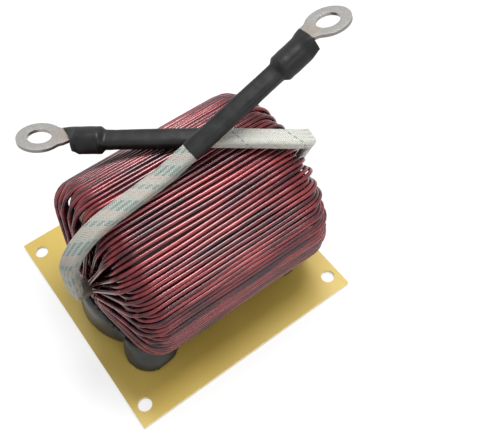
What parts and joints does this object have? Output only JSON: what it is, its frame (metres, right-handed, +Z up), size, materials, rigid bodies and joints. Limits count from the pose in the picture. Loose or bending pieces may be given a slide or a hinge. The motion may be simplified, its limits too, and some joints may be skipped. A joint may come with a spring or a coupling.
{
  "type": "toroidal inductor",
  "caption": "Toroidal power choke wound with parallel enamelled wires, bedded in adhesive on a square board with corner holes, its two sleeved leads ending in ring lugs.",
  "frame": {"origin": "centre of the board's underside", "axes": "+Z up out of the board, +X along the cores' axis towards the raised lug's end, +Y across the board"},
  "size_m": [0.1237, 0.1, 0.1076],
  "materials": {
    "glass_epoxy": "glass-epoxy laminate, yellow, satin",
    "black_adhesive": "cured black adhesive, glossy",
    "core_coating": "epoxy powder coating",
    "insulating_wrap": "insulating tape",
    "enamelled_wire": "dark red wire enamel over copper",
    "woven_sleeve": "woven glass-fibre sleeve",
    "heat_shrink": "polyolefin tube, satin black",
    "tinned_copper": "tin plate over copper, bright with fine scratches"
  },
  "bodies": {
    "root": {"base_board": "glass_epoxy", "adhesive_bed": "black_adhesive", "core_1": "core_coating", "core_2": "core_coating", "core_3": "core_coating", "core_wrap": "insulating_wrap", "strand_1": "enamelled_wire", "strand_2": "enamelled_wire", "strand_3": "enamelled_wire", "strand_4": "enamelled_wire", "strand_5": "enamelled_wire", "strand_6": "enamelled_wire", "start_sleeve": "woven_sleeve", "finish_sleeve": "woven_sleeve", "start_heat_shrink": "heat_shrink", "finish_heat_shrink": "heat_shrink", "start_lug": "tinned_copper", "finish_lug": "tinned_copper"}
  },
  "joints": []
}
